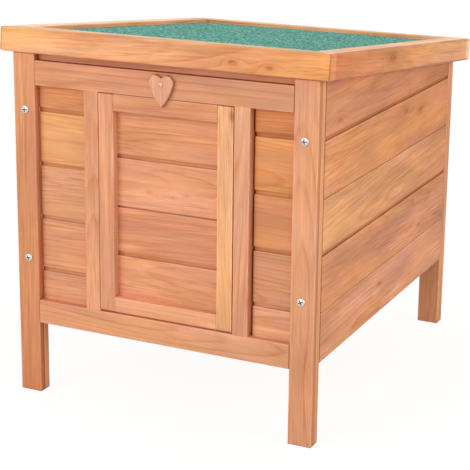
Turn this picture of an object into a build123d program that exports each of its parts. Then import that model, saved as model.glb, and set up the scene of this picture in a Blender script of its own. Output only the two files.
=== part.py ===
from build123d import *
from math import cos, radians, sin
import os

os.makedirs("parts", exist_ok=True)

# Driving sizes in millimetres. X runs across the front, Y from front to back, Z up from the
# ground. The hutch stands on four legs, and its flat roof falls towards the back.
body_width = 400.0
body_depth = 493.0
leg_width = 29.6
frame_thick = 10.0          # posts, stiles, rails and jambs
board_thick = 10.0
bottom_rail_z = 92.7        # lower edge of the bottom rails
wall_rise = 6.0             # from there up to the lower edge of the wall boards
top_rail_drop = 9.3         # from the roof's lower front edge down to the front top rail
rail_height = 30.0
arris = 0.8                 # planed-off corners of the frame timber

# Roof frame: one moulding, mitred at the corners, with the deck held in a groove.
roof_slope = 5.85           # degrees, down towards the back
roof_front_z = 435.1        # lower front edge
roof_front_overhang = 6.0
roof_side_overhang = 14.2
roof_back_overhang = 27.0
roof_member_width = 29.4
roof_member_height = 30.0
roof_round = 3.0            # radius of the moulding's outer arrises
roof_inner_round = 1.5
felt_recess = 5.0           # from the top of the frame down to the felt
felt_thick = 2.0
deck_thick = 9.0
deck_groove_depth = 8.0
roof_batten_width = 32.0
roof_batten_thick = 12.0
seat_gap = 0.3              # between the walls and the shut roof
joinery_gap = 0.3           # loose fit of panels and boards in a frame

# Tongued and grooved boards. Most joints are left open and show the tongue in a shadow gap.
board_rows = 5
lowest_board_share = 0.892  # the lowest board is ripped narrower
top_board_share = 0.344     # share of a board that is left at the top of the back wall
shadow_gap = 5.3            # bare height of the tongue at an open joint
narrow_gap = 2.0            # the same at the one narrow joint of the door
tight_gap = 0.8             # the same where two side boards are driven up tight
tight_side_rows = (1, 3)    # side boards with such a joint at their foot
narrow_door_row = 2
tongue_inset = 2.8          # from the face of the board back to the tongue
tongue_thick = 2.5
tongue_reach = 4.0
tongue_fit = 0.15
crevice = 0.8               # between the tongue and the front lip of its groove
board_end_gap = 0.4         # between the wall boards and the stiles
jamb_gap = 2.0              # between the front boards and the jambs

# Door: a framed panel that drops forward on two pins near its foot.
door_width_share = 0.4425   # shares of the body's width
door_centre_share = 0.01875 # the doorway stands a little right of the middle
door_side_gap = 1.0
door_foot_gap = 0.8
door_head_gap = 1.0
door_stile_width = 19.5
door_rail_height = 20.3
door_board_count = 4
door_top_board_share = 1.13 # the board at the door's head is ripped wider
door_board_inset = 2.0      # boards stand back from the sides of the door frame
jamb_width = 19.7
pivot_radius = 1.5
pivot_length = 28.0
pivot_fit = 0.05            # running fit of every turning pin
door_stop_drop = 20.0       # below the top of the doorway
door_stop_height = 40.0
door_stop_thick = 10.0
door_stop_gap = 0.4
door_stop_lap = 10.0        # over the ends of the front boards

# Heart-shaped turn button on the front top rail.
heart_centre_x = 5.8
heart_half_width = 15.2
heart_height = 38.0
heart_thick = 6.0
heart_rim = 0.8             # bevel around the face
heart_pivot_rise = 1.8      # above the middle of the rail
heart_gap = 0.3             # from the rail to the back of the heart, and under the screw head
heart_screw_radius = 1.75
heart_screw_head_radius = 2.75
heart_screw_head_height = 1.6
heart_screw_length = 15.0
heart_pivot_share = 0.701   # height of the pivot up the heart
heart_widest_share = 0.735
heart_notch_share = 0.895
heart_side_share = (0.66, 0.378)   # a point halfway up the side: half width, height
heart_lobe_share = (0.853, 0.913)  # a point on the shoulder of the lobe
heart_top_share = 0.454     # half width at which the lobe ends in the notch

# Floor, and battens inside the cabin.
floor_drop = 4.0            # below the top of the bottom rail
floor_thick = 9.0
batten_size = 15.0
corner_batten_width = 30.0
corner_batten_thick = 10.0

# Pan-head screws that hold the side panels to the front and back.
corner_screw_inset = 16.0   # from the side of the leg
corner_screw_rise = 54.0    # lower screw, above the bottom rail
corner_screw_drop = 31.4    # upper screw, below the front top rail
corner_screw_radius = 1.75
corner_screw_head_radius = 4.2
corner_screw_head_height = 2.4
corner_screw_length = 18.0
screw_fit = 0.02
head_taper_share = 0.8      # radius at the top of a pan head, as a share of its radius
recess_width_share = 0.32   # cross recess, as shares of the head's radius
recess_length_share = 1.35
recess_depth_share = 0.55   # share of the head's height

# Butt hinges under the back of the roof.
hinge_spacing = 230.0
hinge_length = 38.0
hinge_leaf_thick = 1.5
hinge_leaf_width = 18.0
knuckle_radius = 3.0
knuckle_gap = 0.3           # between knuckles, and from knuckles to the timber
hinge_pin_radius = 1.5
hinge_screw_radius = 1.5
hinge_screw_head_radius = 3.0
hinge_screw_length = 11.0
hinge_screw_spacing = 24.0
hinge_screw_inset = 6.5     # from the free edge of the leaf

top_allowance = 20.0        # extra length of the timber that is cut to the roof's slope

# Places that follow from the sizes above.
slope = radians(roof_slope)
heart_stand = heart_gap + heart_thick + heart_gap + heart_screw_head_height
reach_front = max(heart_stand, roof_front_overhang)
reach_back = body_depth + roof_back_overhang
front_y = (reach_front - reach_back) / 2
back_y = front_y + body_depth
half_width = body_width / 2
leg_depth = frame_thick + board_thick
cabin_half = half_width - board_thick
wall_half = half_width - leg_width
wall_bottom_z = bottom_rail_z + wall_rise
bottom_rail_top = bottom_rail_z + rail_height
top_rail_z = roof_front_z - top_rail_drop - rail_height
header_foot_z = top_rail_z + rail_height / 2
door_width = body_width * door_width_share
door_centre_x = body_width * door_centre_share
doorway_half = door_width / 2 + door_side_gap
doorway_left = door_centre_x - doorway_half
doorway_right = door_centre_x + doorway_half
floor_top = bottom_rail_top - floor_drop
floor_underside = floor_top - floor_thick
corner_screw_x = half_width - corner_screw_inset
screw_heights = (bottom_rail_top + corner_screw_rise, top_rail_z - corner_screw_drop)

# Length of the roof frame along the slope, out to its rounded back edge.
roof_run = roof_front_overhang + reach_back - (roof_member_height - roof_round) * sin(slope)
roof_length = (roof_run - roof_round) / cos(slope) + roof_round

# The roof's own directions: across, down the slope, and square to the slope.
across = Vector(1, 0, 0)
down_slope = Vector(0, cos(slope), -sin(slope))
roof_normal = Vector(0, sin(slope), cos(slope))
roof_corner = Vector(0, front_y - roof_front_overhang, roof_front_z)
seat_plane = Plane(origin=roof_corner - roof_normal * seat_gap, x_dir=across, z_dir=roof_normal)


def seat_height(y):
    """Height of the sloping line on which the shut roof rests, at a depth y."""
    return seat_plane.origin.Z - (y - seat_plane.origin.Y) * sin(slope) / cos(slope)


tall = seat_height(front_y) + top_allowance
back_top_rail_z = seat_height(back_y) - rail_height
board_pitch = (seat_height(back_y - frame_thick) - wall_bottom_z) / (
    board_rows - 2 + lowest_board_share + top_board_share
)


def row_bottom(row):
    """Lower edge of a row of wall boards, counted up from 0."""
    if row == 0:
        return wall_bottom_z
    return wall_bottom_z + (lowest_board_share + row - 1) * board_pitch


def finish(piece, name):
    """Label a finished piece and write it out."""
    piece.part.label = name
    export_step(piece.part, f"parts/{name}.step")


def timber_section(plane, x, y, width, depth):
    """Rectangular timber with planed-off corners, its centre at x, y in the plane."""
    with BuildSketch(plane) as section:
        with Locations((x, y)):
            Rectangle(width, depth)
        chamfer(section.vertices(), length=arris)
    return section.sketch


def board_section(plane, low, high, foot_tongue, head_groove, thick=board_thick, gap=shadow_gap):
    """Matchboard section: x runs in from the face, y is height. The tongue points down."""
    tongue_back = tongue_inset + tongue_thick
    groove_back = tongue_back + tongue_fit
    groove_foot = high - tongue_reach - tongue_fit
    lip = tongue_inset - crevice
    outline = [(0, low), (thick, low)]
    if foot_tongue:
        outline = [
            (0, low + gap),
            (tongue_inset, low + gap),
            (tongue_inset, low - tongue_reach),
            (tongue_back, low - tongue_reach),
            (tongue_back, low + joinery_gap),
            (thick, low + joinery_gap),
        ]
    outline += [(thick, high)]
    if head_groove:
        outline += [(groove_back, high), (groove_back, groove_foot), (lip, groove_foot), (lip, high)]
    outline += [(0, high)]
    with BuildSketch(plane) as section:
        with BuildLine():
            Polyline(*outline, close=True)
        make_face()
    return section.sketch


def wall_row(plane, row, wall_top=tall, gap=shadow_gap):
    """Section of one row of the walls. By default the top row is left long, to be cut to the slope."""
    is_top = row == board_rows - 1
    high = wall_top if is_top else row_bottom(row + 1)
    return board_section(plane, row_bottom(row), high, row > 0, not is_top, gap=gap)


def wall_plane(x, y, inward, run):
    """Plane across a wall's boards: inward is the way into the cabin, run is along the board."""
    return Plane(origin=(x, y, 0), x_dir=inward, z_dir=run)


def along_y(x, z, y, direction):
    """Plane whose normal points along Y, with its x axis along X."""
    return Plane(origin=(x, y, z), x_dir=across, z_dir=(0, direction, 0))


# Legs: each is a post of the front or back panel with a side panel's end stile behind it.
# Two screws hold each pair together: they pass through the post and bite into the stile.
for end, outer_y, inward in (("front", front_y, 1), ("rear", back_y, -1)):
    for side, sign in (("left", -1), ("right", 1)):
        leg_x = sign * (half_width - leg_width / 2)
        for name, first in ((f"{end}_{side}_post", 0), (f"{side}_{end}_stile", frame_thick)):
            thick = board_thick if first else frame_thick
            middle_y = outer_y + inward * (first + thick / 2)
            with BuildPart() as upright:
                extrude(timber_section(Plane.XY, leg_x, middle_y, leg_width, thick), amount=tall)
                split(bisect_by=seat_plane, keep=Keep.BOTTOM)
                for screw_z in screw_heights:
                    with BuildSketch(along_y(sign * corner_screw_x, screw_z, outer_y, inward)):
                        Circle(corner_screw_radius + screw_fit)
                    extrude(amount=corner_screw_length + screw_fit, mode=Mode.SUBTRACT)
            finish(upright, name)

# Rails of the front and back panels, let in between the posts.
rails = (
    ("front_top_rail", front_y + frame_thick / 2, top_rail_z),
    ("front_bottom_rail", front_y + frame_thick / 2, bottom_rail_z),
    ("rear_top_rail", back_y - frame_thick / 2, back_top_rail_z),
    ("rear_bottom_rail", back_y - frame_thick / 2, bottom_rail_z),
)
heart_pivot_z = top_rail_z + rail_height / 2 + heart_pivot_rise
hinge_axis_y = back_y + knuckle_radius + knuckle_gap
hinge_axis_z = (
    roof_corner.Z
    - (hinge_axis_y - roof_corner.Y) * sin(slope) / cos(slope)
    - (knuckle_radius + knuckle_gap) / cos(slope)
)
hinge_places = (-hinge_spacing / 2, hinge_spacing / 2)
hinge_screw_drop = hinge_leaf_width - hinge_screw_inset
for name, middle_y, low_z in rails:
    with BuildPart() as rail:
        rail_plane = Plane(origin=(-wall_half, middle_y, low_z + rail_height / 2), z_dir=across)
        extrude(timber_section(rail_plane, 0, 0, rail_height, frame_thick), amount=2 * wall_half)
        split(bisect_by=seat_plane, keep=Keep.BOTTOM)
        if name == "front_top_rail":
            with BuildSketch(along_y(heart_centre_x, heart_pivot_z, front_y, 1)):
                Circle(heart_screw_radius + screw_fit)
            extrude(amount=frame_thick, mode=Mode.SUBTRACT)
        if name == "rear_top_rail":
            with BuildSketch(along_y(0, hinge_axis_z - hinge_screw_drop, back_y, -1)):
                for place in hinge_places:
                    with Locations((place, 0)):
                        with GridLocations(hinge_screw_spacing, 0, 2, 1):
                            Circle(hinge_screw_radius + screw_fit)
            extrude(amount=frame_thick, mode=Mode.SUBTRACT)
    finish(rail, name)

# Jambs on both sides of the doorway. They are as deep as the rails and boards together, are
# halved over the back of the rails, and each has a blind hole for a door pin.
door_foot_z = bottom_rail_top + door_foot_gap
door_head_z = top_rail_z - door_head_gap
pivot_y = front_y + frame_thick / 2
pivot_z = door_foot_z + frame_thick / 2
pivot_reach = (pivot_length - door_side_gap) / 2
for side, edge_x, outward in (("left", doorway_left, -1), ("right", doorway_right, 1)):
    with BuildPart() as jamb:
        jamb_x = edge_x + outward * jamb_width / 2
        jamb_foot = Plane.XY.offset(wall_bottom_z)
        jamb_y = front_y + leg_depth / 2
        jamb_height = header_foot_z - wall_bottom_z
        extrude(timber_section(jamb_foot, jamb_x, jamb_y, jamb_width, leg_depth), amount=jamb_height)
        for low, high in ((wall_bottom_z, bottom_rail_top), (top_rail_z, header_foot_z)):
            with BuildSketch(Plane.XY.offset(low)):
                with Locations((jamb_x, pivot_y)):
                    Rectangle(jamb_width, frame_thick)
            extrude(amount=high - low, mode=Mode.SUBTRACT)
        with BuildSketch(Plane(origin=(edge_x, pivot_y, pivot_z), z_dir=(outward, 0, 0))):
            Circle(pivot_radius + screw_fit)
        extrude(amount=pivot_reach + screw_fit, mode=Mode.SUBTRACT)
    finish(jamb, f"{side}_jamb")

# Front boards stand in the plane behind the rails, between a stile and a jamb on each side.
front_runs = (
    (board_end_gap - wall_half, doorway_left - jamb_width - jamb_gap),
    (doorway_right + jamb_width + jamb_gap, wall_half - board_end_gap),
)
for row in range(board_rows):
    with BuildPart() as front_row:
        for start, stop in front_runs:
            run_plane = wall_plane(start, front_y + frame_thick, (0, 1, 0), (1, 0, 0))
            extrude(wall_row(run_plane, row, header_foot_z), amount=stop - start)
    finish(front_row, f"front_boards_{row + 1}")

# Plain boards close the front: the header above everything, the sill below the doorway.
for name, start, stop, low, high in (
    ("header_board", -wall_half, wall_half, header_foot_z, tall),
    ("sill_board", doorway_left, doorway_right, wall_bottom_z, bottom_rail_top),
):
    with BuildPart() as infill:
        infill_plane = wall_plane(start, front_y + frame_thick, (0, 1, 0), (1, 0, 0))
        extrude(board_section(infill_plane, low, high, False, False), amount=stop - start)
        split(bisect_by=seat_plane, keep=Keep.BOTTOM)
    finish(infill, name)

# Stop frame inside the cabin: a head that the back of the shut door meets, and two uprights
# on the floor that cover the gaps beside the jambs and take the ends of the front boards.
with BuildPart() as door_stop:
    stop_y = front_y + leg_depth + door_stop_thick / 2
    stop_head_z = top_rail_z - door_stop_drop
    upright_width = jamb_width + jamb_gap + door_stop_lap
    stop_head = timber_section(
        Plane.XY.offset(stop_head_z),
        door_centre_x,
        stop_y,
        2 * (doorway_half + upright_width),
        door_stop_thick,
    )
    extrude(stop_head, amount=door_stop_height)
    for edge_x, outward in ((doorway_left, -1), (doorway_right, 1)):
        upright_x = edge_x + outward * upright_width / 2
        upright = timber_section(
            Plane.XY.offset(floor_top),
            upright_x,
            stop_y,
            upright_width,
            door_stop_thick,
        )
        extrude(upright, amount=stop_head_z - floor_top - joinery_gap)
finish(door_stop, "door_stop")

# Side boards stand between the stiles with their faces flush with the legs.
side_length = body_depth - 2 * (leg_depth + board_end_gap)
for side, face_x, start_y, run in (
    ("left", -half_width, back_y - leg_depth - board_end_gap, -1),
    ("right", half_width, front_y + leg_depth + board_end_gap, 1),
):
    for row in range(board_rows):
        with BuildPart() as side_board:
            inward = (-face_x / half_width, 0, 0)
            gap = tight_gap if row in tight_side_rows else shadow_gap
            section = wall_row(wall_plane(face_x, start_y, inward, (0, run, 0)), row, gap=gap)
            extrude(section, amount=side_length)
            split(bisect_by=seat_plane, keep=Keep.BOTTOM)
        finish(side_board, f"{side}_side_board_{row + 1}")

# Back boards run the whole way between the stiles.
rear_half = wall_half - board_end_gap
with BuildPart() as rear_boards:
    for row in range(board_rows):
        section = wall_row(wall_plane(rear_half, back_y - frame_thick, (0, -1, 0), (-1, 0, 0)), row)
        extrude(section, amount=2 * rear_half)
    split(bisect_by=seat_plane, keep=Keep.BOTTOM)
finish(rear_boards, "rear_boards")

# Floor panel on two battens that are fixed to the side boards.
floor_length = body_depth - 2 * leg_depth - 2 * joinery_gap
floor_middle_y = (front_y + back_y) / 2
with BuildPart() as floor_panel:
    with BuildSketch(Plane.XY.offset(floor_underside)):
        with Locations((0, floor_middle_y)):
            Rectangle(2 * (cabin_half - joinery_gap), floor_length)
    extrude(amount=floor_thick)
finish(floor_panel, "floor_panel")

batten_x = cabin_half - batten_size / 2
with BuildPart() as floor_battens:
    with BuildSketch(Plane.XY.offset(floor_underside - batten_size)):
        for sign in (-1, 1):
            with Locations((sign * batten_x, floor_middle_y)):
                Rectangle(batten_size, floor_length)
    extrude(amount=batten_size)
finish(floor_battens, "floor_battens")

# Corner battens stand on the floor. They lap the ends of the wall boards, which are nailed to
# them, and cover the gaps beside the stiles.
corner_batten_x = cabin_half - corner_batten_width / 2
with BuildPart() as corner_battens:
    with BuildSketch(Plane.XY.offset(floor_top)):
        for end_y, inward in ((front_y, 1), (back_y, -1)):
            corner_batten_y = end_y + inward * (leg_depth + corner_batten_thick / 2)
            for sign in (-1, 1):
                with Locations((sign * corner_batten_x, corner_batten_y)):
                    Rectangle(corner_batten_width, corner_batten_thick)
    extrude(amount=tall - floor_top)
    split(bisect_by=seat_plane, keep=Keep.BOTTOM)
finish(corner_battens, "corner_battens")


def screw_section(plane, shank_radius, length, head_radius, head_height):
    """Half section of a pan-head screw. The plane's y axis points out of the head."""
    top_radius = head_radius * head_taper_share
    with BuildSketch(plane) as section:
        with BuildLine():
            Polyline(
                (0, head_height),
                (0, -length),
                (shank_radius, -length),
                (shank_radius, 0),
                (head_radius, 0),
                (top_radius, head_height),
                close=True,
            )
        make_face()
    return section.sketch


def cross_recess(plane, head_radius):
    """Cross-shaped driver recess, drawn on the top of the screw head."""
    long_side = recess_length_share * head_radius
    short_side = recess_width_share * head_radius
    with BuildSketch(plane) as recess:
        Rectangle(long_side, short_side)
        Rectangle(short_side, long_side)
    return recess.sketch


# Eight corner screws, driven from the front and from the back.
with BuildPart() as corner_screws:
    for end_y, outward in ((front_y, -1), (back_y, 1)):
        for screw_z in screw_heights:
            for sign in (-1, 1):
                seat = Vector(sign * corner_screw_x, end_y, screw_z)
                axial = Plane(origin=seat, x_dir=across, z_dir=(0, 0, outward))
                section = screw_section(
                    axial,
                    corner_screw_radius,
                    corner_screw_length,
                    corner_screw_head_radius,
                    corner_screw_head_height,
                )
                revolve(section, axis=Axis(seat, (0, outward, 0)))
                top = seat + Vector(0, outward * corner_screw_head_height, 0)
                recess = cross_recess(Plane(origin=top, z_dir=(0, -outward, 0)), corner_screw_head_radius)
                depth = recess_depth_share * corner_screw_head_height
                extrude(recess, amount=depth, mode=Mode.SUBTRACT)
finish(corner_screws, "corner_screws")

# Door frame. Its lower front arris is rounded about the pins so that it turns clear of the rail.
door_half = door_width / 2
door_height = door_head_z - door_foot_z
for side, sign in (("left", -1), ("right", 1)):
    edge_x = door_centre_x + sign * door_half
    with BuildPart() as door_stile:
        stile_x = edge_x - sign * door_stile_width / 2
        with BuildSketch(Plane.XY.offset(door_foot_z)):
            with Locations((stile_x, pivot_y)):
                Rectangle(door_stile_width, frame_thick)
        extrude(amount=door_height)
        lower_front = door_stile.edges().filter_by(Axis.X).group_by(Axis.Z)[0].sort_by(Axis.Y)[0]
        fillet(lower_front, radius=frame_thick / 2)
        with BuildSketch(Plane(origin=(edge_x, pivot_y, pivot_z), z_dir=(-sign, 0, 0))):
            Circle(pivot_radius + pivot_fit)
        extrude(amount=pivot_reach + door_side_gap, mode=Mode.SUBTRACT)
    finish(door_stile, f"door_{side}_stile")

door_rail_length = door_width - 2 * door_stile_width
with BuildPart() as door_bottom_rail:
    with BuildSketch(Plane.XY.offset(door_foot_z)):
        with Locations((door_centre_x, pivot_y)):
            Rectangle(door_rail_length, frame_thick)
    extrude(amount=door_rail_height)
    lower_front = door_bottom_rail.edges().filter_by(Axis.X).group_by(Axis.Z)[0].sort_by(Axis.Y)[0]
    fillet(lower_front, radius=frame_thick / 2)
finish(door_bottom_rail, "door_bottom_rail")

with BuildPart() as door_top_rail:
    head_plane = Plane(
        origin=(door_centre_x - door_rail_length / 2, pivot_y, door_head_z - door_rail_height / 2),
        z_dir=across,
    )
    extrude(timber_section(head_plane, 0, 0, door_rail_height, frame_thick), amount=door_rail_length)
finish(door_top_rail, "door_top_rail")

# Four boards nailed behind the door frame, from the middle of one rail to the middle of the
# other. They are a little thinner than the wall boards, so the back clears the stop.
door_board_thick = board_thick - door_stop_gap
door_board_foot = door_foot_z + door_rail_height / 2
door_board_head = door_head_z - door_rail_height / 2
door_board_half = door_half - door_board_inset
door_board_pitch = (door_board_head - door_board_foot) / (door_board_count - 1 + door_top_board_share)
for row in range(door_board_count):
    is_top = row == door_board_count - 1
    low = door_board_foot + row * door_board_pitch
    high = door_board_head if is_top else low + door_board_pitch
    gap = narrow_gap if row == narrow_door_row else shadow_gap
    with BuildPart() as door_board:
        start_x = door_centre_x - door_board_half
        board_plane = wall_plane(start_x, front_y + frame_thick, (0, 1, 0), (1, 0, 0))
        section = board_section(board_plane, low, high, row > 0, not is_top, door_board_thick, gap)
        extrude(section, amount=2 * door_board_half)
    finish(door_board, f"door_board_{row + 1}")

# Door pins, tight in the jambs and free in the door stiles.
with BuildPart() as door_pivot_pins:
    for edge_x, outward in ((doorway_left, -1), (doorway_right, 1)):
        pin_start = edge_x + outward * pivot_reach
        with BuildSketch(Plane(origin=(pin_start, pivot_y, pivot_z), z_dir=(-outward, 0, 0))):
            Circle(pivot_radius)
        extrude(amount=pivot_length)
finish(door_pivot_pins, "door_pivot_pins")

# Heart: two long side arcs from the tip and two lobes that meet in a notch. The rim of its face
# is bevelled.
heart_face_y = front_y - heart_gap - heart_thick
heart_tip_z = heart_pivot_z - heart_pivot_share * heart_height
heart_foot = (heart_centre_x, heart_face_y + heart_rim, heart_tip_z)
heart_plane = Plane(origin=heart_foot, x_dir=across, z_dir=(0, -1, 0))
with BuildPart() as heart_button:
    with BuildSketch(heart_plane):
        with BuildLine():
            tip = (0, 0)
            side_point = (heart_half_width * heart_side_share[0], heart_height * heart_side_share[1])
            widest = (heart_half_width, heart_height * heart_widest_share)
            shoulder = (heart_half_width * heart_lobe_share[0], heart_height * heart_lobe_share[1])
            top = (heart_half_width * heart_top_share, heart_height)
            notch = (0, heart_height * heart_notch_share)
            ThreePointArc(tip, side_point, widest)
            ThreePointArc(widest, shoulder, top)
            Line(top, notch)
            Line(notch, tip)
        make_face()
        mirror(about=Plane.YZ)
    extrude(amount=heart_rim - heart_thick)
    extrude(heart_button.faces().sort_by(Axis.Y)[0], amount=heart_rim, taper=45)
    with BuildSketch(along_y(heart_centre_x, heart_pivot_z, heart_face_y, 1)):
        Circle(heart_screw_radius + pivot_fit)
    extrude(amount=heart_thick, mode=Mode.SUBTRACT)
finish(heart_button, "heart_button")

with BuildPart() as heart_screw:
    seat = Vector(heart_centre_x, heart_face_y - heart_gap, heart_pivot_z)
    section = screw_section(
        Plane(origin=seat, x_dir=across, z_dir=(0, 0, -1)),
        heart_screw_radius,
        heart_screw_length,
        heart_screw_head_radius,
        heart_screw_head_height,
    )
    revolve(section, axis=Axis(seat, (0, -1, 0)))
    top = seat - Vector(0, heart_screw_head_height, 0)
    recess = cross_recess(Plane(origin=top, z_dir=(0, 1, 0)), heart_screw_head_radius)
    extrude(recess, amount=recess_depth_share * heart_screw_head_height, mode=Mode.SUBTRACT)
finish(heart_screw, "heart_screw")

# Roof frame members, cut from one moulding. Its section has x inwards and y square to the
# slope. A groove in the inner face holds the deck, and both ends are cut at 45 degrees.
roof_half = half_width + roof_side_overhang
deck_underside = roof_member_height - felt_recess - felt_thick - deck_thick
roof_front_left = roof_corner - across * roof_half
roof_front_right = roof_corner + across * roof_half
roof_back_left = roof_front_left + down_slope * roof_length
roof_back_right = roof_front_right + down_slope * roof_length
roof_members = (
    ("roof_front_member", roof_front_left, across, down_slope, 2 * roof_half),
    ("roof_rear_member", roof_back_right, -across, -down_slope, 2 * roof_half),
    ("roof_right_member", roof_front_right, down_slope, -across, roof_length),
    ("roof_left_member", roof_back_left, -down_slope, across, roof_length),
)
hinge_axis = Vector(0, hinge_axis_y, hinge_axis_z)
knuckle_stand = knuckle_radius + knuckle_gap
roof_leaf_screws = hinge_axis + down_slope * hinge_screw_drop + roof_normal * knuckle_stand
hinge_screw_bite = hinge_screw_length - hinge_leaf_thick
for name, corner, run, inward, length in roof_members:
    with BuildPart() as member:
        with BuildSketch(Plane(origin=corner, x_dir=inward, z_dir=run)) as moulding:
            with Locations((roof_member_width / 2, roof_member_height / 2)):
                Rectangle(roof_member_width, roof_member_height)
            fillet(moulding.vertices().group_by(Axis.X)[0], radius=roof_round)
            fillet(moulding.vertices().group_by(Axis.X)[-1], radius=roof_inner_round)
            groove_height = deck_thick + joinery_gap
            groove_place = (
                roof_member_width - deck_groove_depth / 2,
                deck_underside + groove_height / 2,
            )
            with Locations(groove_place):
                Rectangle(deck_groove_depth, groove_height, mode=Mode.SUBTRACT)
        extrude(amount=length)
        split(bisect_by=Plane(origin=corner, z_dir=run - inward), keep=Keep.TOP)
        split(bisect_by=Plane(origin=corner + run * length, z_dir=run + inward), keep=Keep.BOTTOM)
        if name == "roof_rear_member":
            with BuildSketch(Plane(origin=roof_leaf_screws, x_dir=across, z_dir=roof_normal)):
                for place in hinge_places:
                    with Locations((place, 0)):
                        with GridLocations(hinge_screw_spacing, 0, 2, 1):
                            Circle(hinge_screw_radius + screw_fit)
            extrude(amount=hinge_screw_bite + screw_fit, mode=Mode.SUBTRACT)
    finish(member, name)

# Deck panel in the groove, the felt laid on it, and a batten that stiffens it from below.
roof_plane = Plane(origin=roof_corner, x_dir=across, z_dir=roof_normal)
inner_width = 2 * (roof_half - roof_member_width)
inner_length = roof_length - 2 * roof_member_width
tongue_in = 2 * (deck_groove_depth - joinery_gap)
roof_layers = (
    ("roof_deck", inner_width + tongue_in, inner_length + tongue_in, deck_underside, deck_thick),
    (
        "roof_felt",
        inner_width - 2 * joinery_gap,
        inner_length - 2 * joinery_gap,
        deck_underside + deck_thick,
        felt_thick,
    ),
    (
        "roof_batten",
        inner_width - 2 * joinery_gap,
        roof_batten_width,
        deck_underside - roof_batten_thick,
        roof_batten_thick,
    ),
)
for name, width, length, underside, thick in roof_layers:
    with BuildPart() as layer:
        with BuildSketch(roof_plane.offset(underside)):
            with Locations((0, roof_length / 2)):
                Rectangle(width, length)
        extrude(amount=thick)
    finish(layer, name)


def leaf_section(plane):
    """Plate of a hinge leaf, clear of the other leaf's knuckles. x runs away from the pin."""
    with BuildSketch(plane) as section:
        with Locations(((knuckle_stand + hinge_leaf_width) / 2, knuckle_stand - hinge_leaf_thick / 2)):
            Rectangle(hinge_leaf_width - knuckle_stand, hinge_leaf_thick)
    return section.sketch


def knuckle_section(plane):
    """Rolled knuckle of a hinge leaf, with its neck."""
    with BuildSketch(plane) as section:
        Circle(knuckle_radius)
        with Locations((knuckle_stand / 2, knuckle_stand - hinge_leaf_thick / 2)):
            Rectangle(knuckle_stand, hinge_leaf_thick)
        Circle(hinge_pin_radius + pivot_fit, mode=Mode.SUBTRACT)
    return section.sketch


def flat_screw_section(plane):
    """Half section of a countersunk hinge screw. The plane's y axis points out of the head."""
    sink = hinge_screw_head_radius - hinge_screw_radius
    with BuildSketch(plane) as section:
        with BuildLine():
            Polyline(
                (0, 0),
                (0, -hinge_screw_length),
                (hinge_screw_radius, -hinge_screw_length),
                (hinge_screw_radius, -sink),
                (hinge_screw_head_radius, 0),
                close=True,
            )
        make_face()
    return section.sketch


# Two butt hinges. The fixed leaves are screwed to the back of the rear top rail and carry the
# outer knuckles. The moving leaves are screwed under the roof and carry the middle ones.
third = hinge_length / 3
half_gap = knuckle_gap / 2
outer_knuckles = ((0, third - half_gap), (2 * third + half_gap, third - half_gap))
middle_knuckle = ((third + half_gap, third - knuckle_gap),)
leaf_sides = (
    ("fixed", Vector(0, 0, -1), Vector(0, -1, 0), outer_knuckles),
    ("moving", down_slope, roof_normal, middle_knuckle),
)
for name, reach, timber, knuckles in leaf_sides:
    run = reach.cross(timber)
    surface = hinge_axis + reach * hinge_screw_drop + timber * (knuckle_stand - hinge_leaf_thick)
    with BuildPart() as leaves:
        for place in hinge_places:
            start = hinge_axis + across * place - run * (hinge_length / 2)
            extrude(leaf_section(Plane(origin=start, x_dir=reach, z_dir=run)), amount=hinge_length)
            for offset_along, knuckle_length in knuckles:
                knuckle_start = start + run * offset_along
                knuckle_plane = Plane(origin=knuckle_start, x_dir=reach, z_dir=run)
                extrude(knuckle_section(knuckle_plane), amount=knuckle_length)
            with Locations(Plane(origin=surface + across * place, x_dir=across, z_dir=-timber)):
                with GridLocations(hinge_screw_spacing, 0, 2, 1):
                    CounterSinkHole(
                        hinge_screw_radius + screw_fit,
                        hinge_screw_head_radius + screw_fit,
                        depth=hinge_leaf_thick,
                        counter_sink_angle=90,
                    )
    finish(leaves, f"hinge_{name}_leaves")
    with BuildPart() as screws:
        for place in hinge_places:
            for sign in (-1, 1):
                seat = surface + across * (place + sign * hinge_screw_spacing / 2)
                axial = Plane(origin=seat, x_dir=across, z_dir=across.cross(-timber))
                revolve(flat_screw_section(axial), axis=Axis(seat, -timber))
    finish(screws, f"hinge_{name}_screws")

with BuildPart() as hinge_pins:
    for place in hinge_places:
        pin_start = hinge_axis + across * (place - hinge_length / 2)
        with BuildSketch(Plane(origin=pin_start, z_dir=across)):
            Circle(hinge_pin_radius)
        extrude(amount=hinge_length)
finish(hinge_pins, "hinge_pins")
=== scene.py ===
from math import cos, radians, sin

import bmesh
import bpy
from mathutils import Euler, Matrix, Vector


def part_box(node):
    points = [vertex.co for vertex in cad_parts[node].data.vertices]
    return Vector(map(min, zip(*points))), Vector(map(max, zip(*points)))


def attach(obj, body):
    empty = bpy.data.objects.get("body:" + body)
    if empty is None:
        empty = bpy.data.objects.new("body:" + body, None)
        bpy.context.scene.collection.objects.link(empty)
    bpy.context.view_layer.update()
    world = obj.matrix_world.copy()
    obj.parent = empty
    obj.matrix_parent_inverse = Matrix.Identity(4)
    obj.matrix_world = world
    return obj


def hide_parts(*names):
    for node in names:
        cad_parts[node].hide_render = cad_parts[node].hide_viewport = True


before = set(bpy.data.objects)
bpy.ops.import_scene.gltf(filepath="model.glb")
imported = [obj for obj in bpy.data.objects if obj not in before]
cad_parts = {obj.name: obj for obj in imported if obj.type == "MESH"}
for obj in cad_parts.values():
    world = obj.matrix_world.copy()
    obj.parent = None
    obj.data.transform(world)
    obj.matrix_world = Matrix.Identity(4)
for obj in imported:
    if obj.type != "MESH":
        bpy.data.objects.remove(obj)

for name in ("Cube", "Light", "Camera"):
    if name in bpy.data.objects:
        bpy.data.objects.remove(bpy.data.objects[name])
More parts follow.
